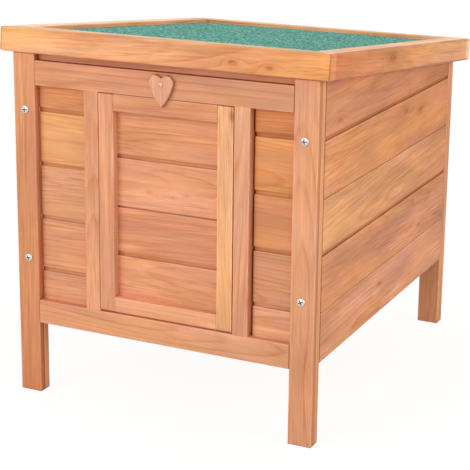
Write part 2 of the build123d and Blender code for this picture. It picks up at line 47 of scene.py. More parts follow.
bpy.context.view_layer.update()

# Legs. Each is a 30 x 10 mm post with a stile of the side panel laid face to face behind it,
# both planed fir with an orange-brown stain. The posts show flat-sawn figure. Some legs are
# painted darker towards the feet, as painted shade, and the front posts' narrow faces and back
# rims take painted shade too.
random_step = 0.61803
arris_width = 0.0006
arris_angle = radians(35)
shortest_arris = 0.004
same_place = 1e-6
on_face = 1e-5
rim_depth = 0.0012
no_knot = (50.0, 50.0, 50.0)
knot_stretch = Vector((450, 1000, 1000))
figure_labels = ("lay", "half", "rings", "knot_a", "knot_b", "knot_c")
right, back, up = Vector((1, 0, 0)), Vector((0, 1, 0)), Vector((0, 0, 1))
plank_axes = {"upright": (up, right, back)}
fir_tints = {
    "late wood": (0.78, 0.55, 0.40),
    "dark line": (0.86, 0.74, 0.62),
    "pale line": (1.08, 1.18, 1.26),
    "red patch": (0.93, 0.76, 0.64),
    "pale patch": (1.10, 1.22, 1.36),
    "round a knot": (0.88, 0.68, 0.54),
    "end grain": (0.64, 0.48, 0.38),
    "highlit tip": (1.16, 1.42, 1.72),
    "worn and highlit arris": (1.14, 1.24, 1.34),
    "shade and pooled stain in a joint": (0.62, 0.42, 0.30),
}


def srgb(red, green, blue):
    """A colour written in 0-255 display values, as the shader's linear colour."""
    shares = [value / 255 for value in (red, green, blue)]
    return (*[s / 12.92 if s <= 0.04045 else ((s + 0.055) / 1.055) ** 2.4 for s in shares], 1.0)


def place(tree, kind, values=None, **settings):
    """Adds a node.

    values holds, by the input's name or number, a constant or the socket that it comes from."""
    made = tree.nodes.new(kind)
    for name, value in settings.items():
        setattr(made, name, value)
    for key, value in (values or {}).items():
        if isinstance(value, bpy.types.NodeSocket):
            tree.links.new(value, made.inputs[key])
        else:
            made.inputs[key].default_value = value
    return made


def sums(tree, operation, first, second=0.0, third=0.0):
    """The result of a Math node."""
    values = {0: first, 1: second, 2: third}
    return place(tree, "ShaderNodeMath", values, operation=operation).outputs[0]


def rest_of(tree, share):
    """What the share leaves of 1."""
    return sums(tree, "SUBTRACT", 1.0, share)


def centred(tree, noise):
    """Noise about 0 instead of 0.5."""
    return sums(tree, "SUBTRACT", noise, 0.5)


def vector_sums(tree, operation, first, second=None):
    """The result of a Vector Math node, which is a number for LENGTH."""
    values = {0: first}
    if second is not None:
        values["Scale" if operation == "SCALE" else 1] = second
    made = place(tree, "ShaderNodeVectorMath", values, operation=operation)
    return made.outputs["Value" if operation == "LENGTH" else "Vector"]


def parts_of(tree, vector):
    """The three parts of a vector."""
    return tuple(place(tree, "ShaderNodeSeparateXYZ", {0: vector}).outputs)


def step_between(tree, value, low, high):
    """0 up to low, 1 from high, smooth between them."""
    values = {"Value": value, "From Min": low, "From Max": high}
    made = place(tree, "ShaderNodeMapRange", values, interpolation_type="SMOOTHSTEP")
    return made.outputs["Result"]


def blend_colour(tree, share, first, second, kind="MIX"):
    """The result of mixing two colours, which are inputs 6 and 7 of the Mix node."""
    values = {0: share, 6: first, 7: second}
    made = place(tree, "ShaderNodeMix", values, data_type="RGBA", blend_type=kind)
    return made.outputs[2]


def tinted(tree, share, colour, tint):
    """The colour multiplied by a tint, as far as the share goes."""
    whole = blend_colour(tree, 1.0, colour, (*tint, 1), "MULTIPLY")
    return blend_colour(tree, share, colour, whole)


def streaks(tree, vector, stretch, detail=2.0, roughness=0.5):
    """Noise stretched by a scale for each direction."""
    scaled = vector_sums(tree, "MULTIPLY", vector, stretch)
    values = {"Vector": scaled, "Scale": 1.0, "Detail": detail, "Roughness": roughness}
    return place(tree, "ShaderNodeTexNoise", values).outputs["Fac"]


def new_group(name, inputs, outputs):
    """An empty shader node group with its named sockets."""
    group = bpy.data.node_groups.new(name, "ShaderNodeTree")
    for label, kind in inputs:
        group.interface.new_socket(label, in_out="INPUT", socket_type=kind)
    for label, kind in outputs:
        group.interface.new_socket(label, in_out="OUTPUT", socket_type=kind)
    return group, group.nodes.new("NodeGroupInput"), group.nodes.new("NodeGroupOutput")


def depths(tree, lay, half):
    """How deep a point lies inside a plank's ends, narrow faces and wide faces."""
    outward = vector_sums(tree, "ABSOLUTE", lay)
    return parts_of(tree, vector_sums(tree, "SUBTRACT", half, outward))


def make_arris_mask_group():
    """Mask that is 1 on a plank's arrises and falls to 0 a few millimetres in from them."""
    inputs = [
        ("Lay", "NodeSocketVector"),
        ("Half", "NodeSocketVector"),
        ("Width", "NodeSocketFloat"),
    ]
    group, given, result = new_group("arris mask", inputs, [("Mask", "NodeSocketFloat")])
    lay, half, width = (given.outputs[label] for label in ("Lay", "Half", "Width"))
    along, over, through = depths(group, lay, half)
    low_pair = sums(group, "MINIMUM", along, over)
    high_pair = sums(group, "MAXIMUM", along, over)
    nearest_of_rest = sums(group, "MINIMUM", high_pair, through)
    second_nearest = sums(group, "MAXIMUM", low_pair, nearest_of_rest)
    noise = streaks(group, lay, (60, 220, 220), 3.0, 0.6)
    reach = sums(group, "MULTIPLY", width, sums(group, "MULTIPLY", noise, 2.0))
    share = sums(group, "DIVIDE", second_nearest, reach)
    group.links.new(rest_of(group, step_between(group, share, 0.0, 1.0)), result.inputs["Mask"])
    return group


def make_knot_group():
    """A knot at the middle of the vector Place: its bend in the rings, halo, core and own rings."""
    inputs = [("Place", "NodeSocketVector"), ("Uneven", "NodeSocketFloat")]
    labels = ("Bend", "Halo", "Core", "Ring")
    outputs = [(label, "NodeSocketFloat") for label in labels]
    group, given, result = new_group("knot", inputs, outputs)
    away = vector_sums(group, "LENGTH", given.outputs["Place"])
    squared = sums(group, "POWER", away, 2.0)
    bend = sums(group, "EXPONENT", sums(group, "MULTIPLY", squared, -0.30))
    edge = sums(group, "MULTIPLY_ADD", given.outputs["Uneven"], 2.4, away)
    halo = rest_of(group, step_between(group, edge, 0.5, 2.4))
    core = rest_of(group, step_between(group, edge, 0.2, 1.0))
    wave = sums(group, "SINE", sums(group, "MULTIPLY", away, 16.0))
    ring = sums(group, "MULTIPLY", wave, core)
    for label, value in zip(labels, (bend, halo, core, ring)):
        group.links.new(value, result.inputs[label])
    return group


def join_knots(group, given, uneven):
    """The bend, halo, core and own rings of a plank's three knots together."""
    knot_group = make_knot_group()
    found = []
    for label in ("Knot A", "Knot B", "Knot C"):
        values = {"Place": given[label], "Uneven": uneven}
        found.append(place(group, "ShaderNodeGroup", values, node_tree=knot_group).outputs)
    joined = []
    rules = {"Bend": "ADD", "Halo": "MAXIMUM", "Core": "MAXIMUM", "Ring": "ADD"}
    for label, operation in rules.items():
        pair = sums(group, operation, found[0][label], found[1][label])
        joined.append(sums(group, operation, pair, found[2][label]))
    return joined


def late_wood(group, given, bend):
    """How much dark late wood shows: rings about the tree's middle, uneven and bent round knots."""
    rings = given["Rings"]
    from_pith = vector_sums(group, "MULTIPLY", rings, (0, 1, 1))
    radius = vector_sums(group, "LENGTH", from_pith)
    waver = centred(group, streaks(group, rings, (2.6, 9, 9), 2.0, 0.4))
    ragged = centred(group, streaks(group, rings, (26, 240, 240), 2.0, 0.6))
    radius = sums(group, "MULTIPLY_ADD", waver, 0.020, radius)
    radius = sums(group, "MULTIPLY_ADD", ragged, 0.0010, radius)
    radius = sums(group, "MULTIPLY_ADD", bend, 0.007, radius)
    count = sums(group, "DIVIDE", radius, given["Ring Spacing"])
    late = place(group, "ShaderNodeValToRGB", {0: sums(group, "FRACT", count)})
    levels = ((0.0, 0.5), (0.08, 0.0), (0.45, 0.06), (0.78, 0.34), (0.93, 1.0), (1.0, 0.5))
    for position, level in levels:
        stop = late.color_ramp.elements.new(position) if 0 < position < 1 else None
        stop = stop or late.color_ramp.elements[0 if position == 0 else -1]
        stop.color = (level, level, level, 1)
    ring_number = sums(group, "FLOOR", count)
    each_ring = place(group, "ShaderNodeTexWhiteNoise", {"W": ring_number}, noise_dimensions="1D")
    patches = step_between(group, streaks(group, rings, (4, 24, 24), 2.0), 0.36, 0.62)
    each_share = sums(group, "MULTIPLY_ADD", each_ring.outputs[0], 0.8, 0.2)
    share = sums(group, "MULTIPLY", late.outputs[0], each_share)
    share = sums(group, "MULTIPLY", share, sums(group, "MULTIPLY_ADD", patches, 0.8, 0.2))
    return sums(group, "MULTIPLY", share, given["Ring Strength"])


def make_fir_group():
    """Figure of a plank: growth rings about the tree's middle, fibres, uneven stain and knots."""
    vectors = ("Lay", "Half", "Rings", "Knot A", "Knot B", "Knot C")
    numbers = (
        "Ring Spacing",
        "Ring Strength",
        "Unevenness",
        "Joint Shade",
        "End Band",
        "Tip Highlight",
    )
    inputs = [(label, "NodeSocketVector") for label in vectors]
    inputs.append(("Stain", "NodeSocketColor"))
    inputs.extend((label, "NodeSocketFloat") for label in numbers)
    outputs = [
        ("Colour", "NodeSocketColor"),
        ("Roughness", "NodeSocketFloat"),
        ("Height", "NodeSocketFloat"),
    ]
    group, given_node, result = new_group("planed fir", inputs, outputs)
    given = given_node.outputs
    rings, unevenness = given["Rings"], given["Unevenness"]

    def moved(offset):
        """The rings' vector set off, for a noise of its own."""
        return vector_sums(group, "ADD", rings, offset)

    def patchy(noise, strength):
        """Where the noise is high, as strong as the plank is uneven."""
        patch = step_between(group, noise, 0.56, 0.74)
        return sums(group, "MULTIPLY", sums(group, "MULTIPLY", patch, unevenness), strength)

    uneven = centred(group, streaks(group, rings, (6, 27, 27), 3.0, 0.55))
    bend, halo, core, core_rings = join_knots(group, given, uneven)
    late_share = late_wood(group, given, bend)

    lively = streaks(group, moved((5.3, 0.2, 1.1)), (4, 20, 20), 2.0)
    lively = sums(group, "MULTIPLY_ADD", step_between(group, lively, 0.34, 0.64), 0.9, 0.4)
    fibres = streaks(group, rings, (20, 1100, 1100), 3.0, 0.65)
    strands = streaks(group, rings, (9, 420, 420), 3.0, 0.6)
    broad = streaks(group, rings, (4, 120, 120), 2.0, 0.55)
    fine = sums(group, "MULTIPLY", centred(group, fibres), 0.38)
    fine = sums(group, "MULTIPLY_ADD", centred(group, strands), 0.60, fine)
    tone = sums(group, "MULTIPLY_ADD", fine, lively, 1.0)
    tone = sums(group, "MULTIPLY_ADD", centred(group, broad), 0.20, tone)
    tone = sums(group, "MULTIPLY_ADD", sums(group, "MULTIPLY", uneven, unevenness), 0.85, tone)
    colour = vector_sums(group, "SCALE", given["Stain"], tone)

    hue = streaks(group, moved((1.9, 4.2, 0.7)), (5, 24, 24), 3.0, 0.55)
    hue = step_between(group, hue, 0.36, 0.64)
    warm = blend_colour(group, hue, (1.02, 1.02, 0.90, 1), (0.99, 0.97, 1.09, 1))
    warmed = blend_colour(group, 1.0, colour, warm, "MULTIPLY")
    colour = blend_colour(group, sums(group, "MULTIPLY", unevenness, 0.8), colour, warmed)
    colour = tinted(group, late_share, colour, fir_tints["late wood"])
    lines = streaks(group, moved((2.7, 0.9, 3.3)), (5, 560, 560), 2.0, 0.5)
    dark_lines = sums(group, "MULTIPLY", step_between(group, lines, 0.60, 0.70), lively)
    dark_lines = sums(group, "MULTIPLY", dark_lines, 0.7)
    colour = tinted(group, dark_lines, colour, fir_tints["dark line"])
    pale_lines = rest_of(group, step_between(group, lines, 0.30, 0.40))
    pale_lines = sums(group, "MULTIPLY", sums(group, "MULTIPLY", pale_lines, lively), 0.7)
    colour = tinted(group, pale_lines, colour, fir_tints["pale line"])
    red_patch = patchy(streaks(group, rings, (12, 42, 42), 3.0, 0.55), 0.6)
    colour = tinted(group, red_patch, colour, fir_tints["red patch"])
    pale_patch = patchy(streaks(group, moved((3.1, 1.7, 0.4)), (11, 48, 48), 4.0, 0.6), 0.8)
    colour = tinted(group, pale_patch, colour, fir_tints["pale patch"])

    halo = sums(group, "MULTIPLY", halo, 0.55)
    colour = tinted(group, halo, colour, fir_tints["round a knot"])
    ring_share = sums(group, "MULTIPLY_ADD", core_rings, 0.25, 0.4)
    core_colour = blend_colour(group, ring_share, srgb(182, 108, 68), srgb(146, 78, 46))
    colour = blend_colour(group, sums(group, "MULTIPLY", core, 0.7), colour, core_colour)

    from_end, _, from_face = depths(group, given["Lay"], given["Half"])
    band = given["End Band"]
    band_start = sums(group, "MULTIPLY", band, 0.4)
    end_grain = rest_of(group, step_between(group, from_end, band_start, band))
    colour = tinted(group, end_grain, colour, fir_tints["end grain"])
    # Near each end, short of the end grain, a painted highlight lies on the rounded corners.
    near_end = rest_of(group, step_between(group, from_end, 0.012, 0.018))
    tip_highlight_share = sums(group, "SUBTRACT", near_end, end_grain)
    tip_highlight_share = sums(group, "MULTIPLY", tip_highlight_share, given["Tip Highlight"])
    colour = tinted(group, tip_highlight_share, colour, fir_tints["highlit tip"])

    # Arrises are painted paler: partly wear, partly a painted highlight where they catch the light.
    values = {"Lay": given["Lay"], "Half": given["Half"], "Width": 0.0019}
    arris_mask = place(group, "ShaderNodeGroup", values, node_tree=make_arris_mask_group())
    worn_and_highlit = sums(group, "MULTIPLY", arris_mask.outputs["Mask"], 0.9)
    colour = tinted(group, worn_and_highlit, colour, fir_tints["worn and highlit arris"])
    # Faces deep in a joint are darkened: painted shade, with a little stain pooled there.
    joint_shade_and_stain = step_between(group, from_face, 0.0012, 0.0024)
    joint_shade_and_stain = sums(group, "MULTIPLY", joint_shade_and_stain, given["Joint Shade"])
    colour = tinted(group, joint_shade_and_stain, colour, fir_tints["shade and pooled stain in a joint"])

    rough = sums(group, "MULTIPLY_ADD", fibres, 0.16, 0.46)
    rough = sums(group, "MULTIPLY_ADD", late_share, -0.10, rough)
    rough = sums(group, "MULTIPLY_ADD", end_grain, 0.22, rough)
    height = sums(group, "MULTIPLY_ADD", late_share, 0.5, sums(group, "MULTIPLY", fibres, 0.6))
    height = sums(group, "MULTIPLY_ADD", strands, 0.3, height)
    group.links.new(colour, result.inputs["Colour"])
    group.links.new(rough, result.inputs["Roughness"])
    group.links.new(height, result.inputs["Height"])
    return group


def new_material(name):
    """A material with its tree and its Principled shader."""
    material = bpy.data.materials.new(name)
    material.use_nodes = True
    tree = material.node_tree
    return material, tree, tree.nodes["Principled BSDF"]


def dress(tree, shader, colour, roughness, height, strength, depth):
    """Gives a shader its colour, its roughness and a fine relief that is so many metres deep."""
    values = {"Strength": strength, "Distance": depth, "Height": height}
    bump = place(tree, "ShaderNodeBump", values)
    tree.links.new(colour, shader.inputs["Base Color"])
    tree.links.new(roughness, shader.inputs["Roughness"])
    tree.links.new(bump.outputs["Normal"], shader.inputs["Normal"])


def from_mesh(tree, name):
    """What a vector attribute of the mesh holds."""
    return place(tree, "ShaderNodeAttribute", attribute_name=name).outputs["Vector"]


def make_timber(
    name,
    ring_strength,
    unevenness,
    spacing=0.0036,
    relief=0.0002,
    joint_shade=0.0,
    end_band=0.0013,
    tip_highlight=0.0,
):
    """A planed and stained fir material that reads each plank's own figure from its mesh."""
    material, tree, shader = new_material(name)
    values = {
        "Stain": place(tree, "ShaderNodeAttribute", attribute_name="stain").outputs["Color"],
        "Ring Spacing": spacing,
        "Ring Strength": ring_strength,
        "Unevenness": unevenness,
        "Joint Shade": joint_shade,
        "End Band": end_band,
        "Tip Highlight": tip_highlight,
    }
    for label in ("Lay", "Half", "Rings", "Knot A", "Knot B", "Knot C"):
        values[label] = from_mesh(tree, label.lower().replace(" ", "_"))
    figure = place(tree, "ShaderNodeGroup", values, node_tree=fir_group).outputs
    colour, roughness, height = figure["Colour"], figure["Roughness"], figure["Height"]
    dress(tree, shader, colour, roughness, height, 0.6, relief)
    shader.inputs["Specular IOR Level"].default_value = 0.08
    return material


def weld(mesh, level_angle=0.05):
    """Joins the doubled vertices of a mesh and takes out the edges between level faces.

    Faces count as level up to that many degrees apart."""
    shape = bmesh.new()
    shape.from_mesh(mesh)
    bmesh.ops.remove_doubles(shape, verts=shape.verts, dist=same_place)
    bmesh.ops.dissolve_limit(
        shape,
        angle_limit=radians(level_angle),
        verts=shape.verts,
        edges=shape.edges,
    )
    shape.to_mesh(mesh)
    shape.free()


def ease_arrises(mesh, run, width, square_ends):
    """Rounds a plank's arrises, or with square_ends only those that run along it."""
    shape = bmesh.new()
    shape.from_mesh(mesh)
    arrises = []
    for edge in shape.edges:
        if len(edge.link_faces) != 2 or edge.calc_length() <= shortest_arris:
            continue
        along = abs((edge.verts[1].co - edge.verts[0].co).normalized().dot(run))
        if edge.calc_face_angle() > arris_angle and (along > 0.9 or not square_ends):
            arrises.append(edge)
    bmesh.ops.bevel(
        shape,
        geom=arrises,
        offset=width,
        segments=2,
        profile=0.6,
        affect="EDGES",
        clamp_overlap=True,
    )
    bmesh.ops.remove_doubles(shape, verts=shape.verts, dist=same_place)
    shape.to_mesh(mesh)
    shape.free()
    mesh.validate()


def islands(mesh):
    """The separate solids of a mesh as lists of vertex numbers, from left, front and bottom."""
    parent = list(range(len(mesh.vertices)))

    def root(index):
        while parent[index] != index:
            parent[index] = parent[parent[index]]
            index = parent[index]
        return index

    for edge in mesh.edges:
        parent[root(edge.vertices[0])] = root(edge.vertices[1])
    found = {}
    for index in range(len(mesh.vertices)):
        found.setdefault(root(index), []).append(index)

    def corner(numbers):
        points = [mesh.vertices[n].co for n in numbers]
        return tuple(round(min(p[axis] for p in points), 3) for axis in (0, 1, 2))

    return sorted(found.values(), key=corner)


planks_made = 0


def plank(
    name,
    body,
    axes,
    stains,
    pith,
    material,
    slot="stained_fir",
    knots=(),
    bevel=arris_width,
    square_ends=False,
    side_shade=None,
    painted_top_light=None,
    rim_shade=None,
):
    """A timber piece that stands for the node of that name.

    stains are display colours, one for each solid of the node, and the last goes on for the rest.
    A pair of colours runs from one end of the solid to the other. side_shade multiplies the stain
    on the two narrow long faces as painted shade, and rim_shade paints shade at the back of the
    rim.
    painted_top_light replaces the stain on the top face: a painted sheen on the roof's members, a
    painted shadow on the front top rail.
    pith is the place of the tree's middle beside the plank, in millimetres: up or right, and back.
    knots holds up to three of (solid's number, along, over, through, radius) in millimetres from
    the solid's middle."""
    global planks_made
    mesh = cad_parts[name].data.copy()
    mesh.materials.clear()
    weld(mesh, level_angle=0.3)
    run, over, through = plank_axes[axes]
    ease_arrises(mesh, run, bevel, square_ends)
    turned = Matrix((run, over, through))
    for label in figure_labels:
        mesh.attributes.new(label, "FLOAT_VECTOR", "POINT")
    mesh.attributes.new("stain", "FLOAT_COLOR", "POINT")
    layers = {label: mesh.attributes[label].data for label in figure_labels}
    knot_layers = [layers[label] for label in figure_labels[3:]]
    colour_layer = mesh.attributes["stain"].data
    for number, vertices in enumerate(islands(mesh)):
        planks_made += 1
        local = {n: turned @ mesh.vertices[n].co for n in vertices}
        low = Vector([min(p[axis] for p in local.values()) for axis in (0, 1, 2)])
        high = Vector([max(p[axis] for p in local.values()) for axis in (0, 1, 2)])
        middle, half = (low + high) / 2, (high - low) / 2
        draw = (planks_made * random_step) % 1
        swing = 2 * ((planks_made * random_step * 3.7) % 1) - 1
        pith_over = pith[0] / 1000 * (1 + 0.4 * swing)
        pith_through = pith[1] / 1000 * (0.8 + 0.5 * draw)
        offset = Vector((7 * draw, pith_over, pith_through))
        lean = Vector((0, 0.05 * swing, 0.09 * draw - 0.045))
        stain = stains[min(number, len(stains) - 1)]
        two_ends = stain if isinstance(stain[0], tuple) else (stain, stain)
        first_end, last_end = (Vector(srgb(*end)) for end in two_ends)
        for n, point in local.items():
            lay = point - middle
            layers["lay"][n].vector = lay
            layers["half"][n].vector = half
            layers["rings"][n].vector = lay - offset + lean * lay.x
            for layer in knot_layers:
                layer[n].vector = no_knot
            for layer, knot in zip(knot_layers, knots):
                if knot[0] == number:
                    away = (lay - Vector(knot[1:4]) / 1000) / knot[4]
                    layer[n].vector = away * knot_stretch
            colour = first_end.lerp(last_end, (point.x - low.x) / (2 * half.x))
            # Painted shade on the two narrow long faces.
            if side_shade and abs(lay.y) > half.y - on_face:
                colour = colour * Vector((*side_shade, 1))
            # Painted shade at the back of the rim.
            if rim_shade and lay.z > half.z - rim_depth:
                colour = colour * Vector((*rim_shade, 1))
            # Painted light on the top face: a sheen on the roof, a shadow on the front top rail.
            if painted_top_light and lay.y > half.y - on_face:
                colour = Vector(srgb(*painted_top_light))
            colour_layer[n].color = colour
    mesh.materials.append(material)
    piece = bpy.data.objects.new(name + "_timber", mesh)
    bpy.context.collection.objects.link(piece)
    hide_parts(name)
    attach(piece, body)
    return piece


fir_group = make_fir_group()
leg_timber = make_timber("leg fir", 0.9, 0.7)
leg_painted_shade = {"side_shade": (0.95, 0.86, 0.82), "rim_shade": (0.74, 0.62, 0.5)}
# Foot to top: the darker foot is painted shade.
stain = ((201, 131, 92), (224, 156, 116))
plank("front_left_post", "hutch_body", "upright", [stain], (6, 34), leg_timber, **leg_painted_shade)
stain = ((215, 152, 112), (225, 161, 121))
plank("front_right_post", "hutch_body", "upright", [stain], (-3, 30), leg_timber, **leg_painted_shade)
plain_legs = (
    ("rear_left_post", (219, 152, 110), (14, -26)),
    ("rear_right_post", (209, 151, 107), (8, -30)),
    ("left_front_stile", (214, 150, 106), (-30, 12)),
    # Its darker foot is painted shade.
    ("right_front_stile", ((201, 141, 99), (228, 164, 120)), (34, 9)),
    ("left_rear_stile", (216, 150, 108), (-28, -16)),
)
for name, stain, pith in plain_legs:
    plank(name, "hutch_body", "upright", [stain], pith, leg_timber)
# Its narrow faces take painted shade, under the body.
plank(
    "right_rear_stile",
    "hutch_body",
    "upright",
    [(220, 155, 118)],
    (30, -14),
    leg_timber,
    side_shade=(0.88, 0.8, 0.7),
)

# Rails of the front and back panels, 30 x 10 mm, butted between the posts and flush with them.
# They are the same stained fir with the grain running along them. The front top rail sits a
# little low, close over the door's head.
plank_axes["across"] = (right, up, back)
rail_timber = make_timber("rail fir", 0.85, 0.8, spacing=0.0034)
# The front top rail's top face is painted with the shadow of the roof's overhang.
head_rail = plank(
    "front_top_rail",
    "hutch_body",
    "across",
    [((215, 148, 107), (210, 151, 116))],
    (-12, 26),
    rail_timber,
    bevel=0.0004,
    painted_top_light=(150, 84, 58),
)
rail_foot = min(vertex.co.z for vertex in head_rail.data.vertices)
foot_drop = 0.0005
for vertex in head_rail.data.vertices:
    if vertex.co.z < rail_foot + arris_width:
        vertex.co.z -= foot_drop
other_rails = (
    ("front_bottom_rail", ((224, 158, 119), (220, 160, 124)), (10, 30)),
    ("rear_top_rail", (218, 152, 112), (6, -28)),
    ("rear_bottom_rail", (222, 156, 116), (-12, -24)),
)
for name, stain, pith in other_rails:
    plank(name, "hutch_body", "across", [stain], pith, rail_timber)

# Jambs on both sides of the doorway, halved over the rails, and the door stop behind them.
# They are of the rails' fir, and their narrow faces carry painted shade, deep in the doorway.
doorway_side_shade = (0.88, 0.76, 0.68)
jambs = (
    ("left_jamb", ((225, 159, 122), (219, 154, 117)), (4, 32)),
    ("right_jamb", ((216, 153, 116), (225, 166, 131)), (-22, 24)),
)
for name, stain, pith in jambs:
    plank(name, "hutch_body", "upright", [stain], pith, rail_timber, side_shade=doorway_side_shade)
plank("door_stop", "hutch_body", "upright", [(214, 150, 110)], (12, 30), rail_timber)

# Matchboards of the walls: fir boards with the tongue down and a shadow gap at every joint.
# Each was stained before it was nailed on, so the hue changes from board to board.
plank_axes["deep"] = (back, up, right)
board_timber = make_timber("front board fir", 0.9, 0.9, joint_shade=0.2)
side_timber = make_timber("side board fir", 0.85, 1.2, spacing=0.0040, joint_shade=0.4)
front_stains = (
    ((216, 152, 117), (228, 167, 129)),
    ((221, 155, 114), (212, 151, 112)),
    ((221, 159, 119), (207, 141, 98)),
    ((227, 164, 112), (226, 155, 102)),
    ((220, 149, 98), (210, 136, 89)),
)
side_stains = (
    ((219, 154, 112), (206, 143, 110)),
    ((219, 150, 105), (198, 136, 99)),
    ((223, 162, 116), (203, 138, 91)),
    ((221, 154, 103), (201, 130, 85)),
    # The top board's colour holds painted shade from the roof's overhang.
    ((206, 140, 97), (187, 122, 82)),
)
front_piths = ((14, 22), (-20, 28), (26, 20), (-8, 34), (18, 26))
side_piths = ((-18, -26), (22, -20), (-12, -30), (20, -24), (6, -30))
side_knots = {
    0: [(0, -30, 9, 5, 3.5)],
    1: [(0, 120, -14, 5, 3.0)],
    3: [(0, 108, 12, 5, 4.5), (0, 50, 21, 5, 2.5)],
    4: [(0, -182, -17, 5, 5.0), (0, 60, -22, 5, 3.0)],
}
for row in range(5):
    name = f"front_boards_{row + 1}"
    stains, pith = front_stains[row], front_piths[row]
    plank(name, "hutch_body", "across", stains, pith, board_timber, square_ends=True)
    for side in ("right", "left"):
        to_pith_over, to_pith_through = side_piths[row]
        plank(
            f"{side}_side_board_{row + 1}",
            "hutch_body",
            "deep",
            [side_stains[row]],
            (to_pith_over, to_pith_through if side == "right" else -to_pith_through),
            side_timber,
            knots=side_knots.get(row, ()) if side == "right" else (),
            square_ends=True,
        )
rear_stains = [(220, 153, 113), (213, 146, 106), (224, 158, 113), (216, 146, 101), (210, 142, 100)]
plank(
    "rear_boards",
    "hutch_body",
    "across",
    rear_stains,
    (16, -28),
    side_timber,
    square_ends=True,
)
plank("header_board", "hutch_body", "across", [(226, 160, 124)], (10, 24), board_timber)
plank("sill_board", "hutch_body", "across", [(218, 152, 112)], (-10, 26), board_timber)

# Inside the cabin: rough-sawn battens that carry the floor, and others in the corners that take
# the nails of the boards. They are paler, because they are only thinly stained.
batten_timber = make_timber("batten fir", 0.45, 0.6, relief=0.0004)
floor_stains = [(222, 172, 124), (216, 166, 118)]
plank("floor_battens", "hutch_body", "deep", floor_stains, (12, 18), batten_timber)
corner_stains = [(220, 170, 122), (214, 160, 114)]
plank("corner_battens", "hutch_body", "upright", corner_stains, (10, 22), batten_timber)

# Door: a frame of narrow stiles and rails with four boards recessed behind it. The right stile
# has taken less stain and is a honey colour, with a redder streak near its head.
fine_arris = 0.00025
door_timber = make_timber("door fir", 0.8, 0.75, spacing=0.0034)
door_frame = (
    ("door_left_stile", "upright", ((218, 154, 115), (224, 160, 125)), (5, 30), ()),
    (
        "door_right_stile",
        "upright",
        ((222, 164, 113), (240, 181, 130)),
        (-18, 22),
        [(0, 125, 8, -5, 3.2)],
    ),
    ("door_top_rail", "across", (219, 151, 111), (14, 24), ()),
    ("door_bottom_rail", "across", (227, 162, 124), (-10, 28), ()),
)
for name, axes, stain, pith, knots in door_frame:
    plank(name, "door", axes, [stain], pith, door_timber, knots=knots, bevel=fine_arris)
door_stains = ((223, 155, 116), (215, 146, 107), (224, 157, 118), (220, 152, 111))
door_piths = ((12, 24), (-22, 22), (8, 34), (-14, 26))
door_knots = {2: [(0, -26, -5, -5, 2.2), (0, 6, -8, -5, 1.6), (0, 24, -3, -5, 2.0)]}
for row in range(4):
    plank(
        f"door_board_{row + 1}",
        "door",
        "across",
        [door_stains[row]],
        door_piths[row],
        board_timber,
        knots=door_knots.get(row, ()),
        square_ends=True,
    )

# Turn button: a heart sawn out of a paler, finer board, with rounded edges. It turns on one
# screw, and its sawn edge is painted darker towards the back, as painted shade.
button_timber = make_timber("button fir", 0.6, 0.5, spacing=0.0034)
plank(
    "heart_button",
    "turn_button",
    "upright",
    [(229, 168, 134)],
    (10, 26),
    button_timber,
    bevel=0.0004,
    rim_shade=(0.34, 0.2, 0.14),
)

# Roof frame: four mitred members with rounded arrises, tilted down to the back, and a batten
# below. The stain is strong and uneven here, from straw yellow to red round the knots.
roof_slope = radians(5.85)
down_slope = Vector((0, cos(roof_slope), -sin(roof_slope)))
roof_normal = Vector((0, sin(roof_slope), cos(roof_slope)))
plank_axes["roof_across"] = (right, roof_normal, down_slope)
plank_axes["roof_deep"] = (down_slope, roof_normal, right)
roof_timber = make_timber("roof fir", 0.9, 1.3, spacing=0.0046, end_band=0.0024)
# The side members carry a painted highlight near their ends, by the mitred corners.
roof_side_timber = make_timber(
    "roof side fir",
    0.9,
    1.3,
    spacing=0.0046,
    end_band=0.0005,
    tip_highlight=1.0,
)
front_knots = [(0, 142, -6, -14, 3.2), (0, 96, -3, -14, 3.0)]
front_stain = ((238, 176, 123), (228, 156, 101))
# The top faces are painted paler and cooler than the sides: a painted reflection of the white
# surround.
rear_top_sheen, side_top_sheen = (244, 188, 146), (250, 196, 157)
roof_frame = (
    ("front", "roof_across", front_stain, (16, 26), roof_timber, front_knots, (216, 177, 137)),
    ("rear", "roof_across", (238, 175, 122), (12, -30), roof_timber, (), rear_top_sheen),
    (
        "right",
        "roof_deep",
        ((216, 134, 80), (226, 167, 116)),
        (18, -24),
        roof_side_timber,
        [(0, -60, 3, 14, 5.0)],
        side_top_sheen,
    ),
    ("left", "roof_deep", (226, 160, 112), (14, 26), roof_side_timber, (), side_top_sheen),
)
for side, axes, stain, pith, timber, knots, top in roof_frame:
    name = f"roof_{side}_member"
    plank(name, "roof", axes, [stain], pith, timber, knots=knots, painted_top_light=top)
plank("roof_batten", "roof", "roof_across", [(222, 172, 124)], (12, 20), batten_timber)


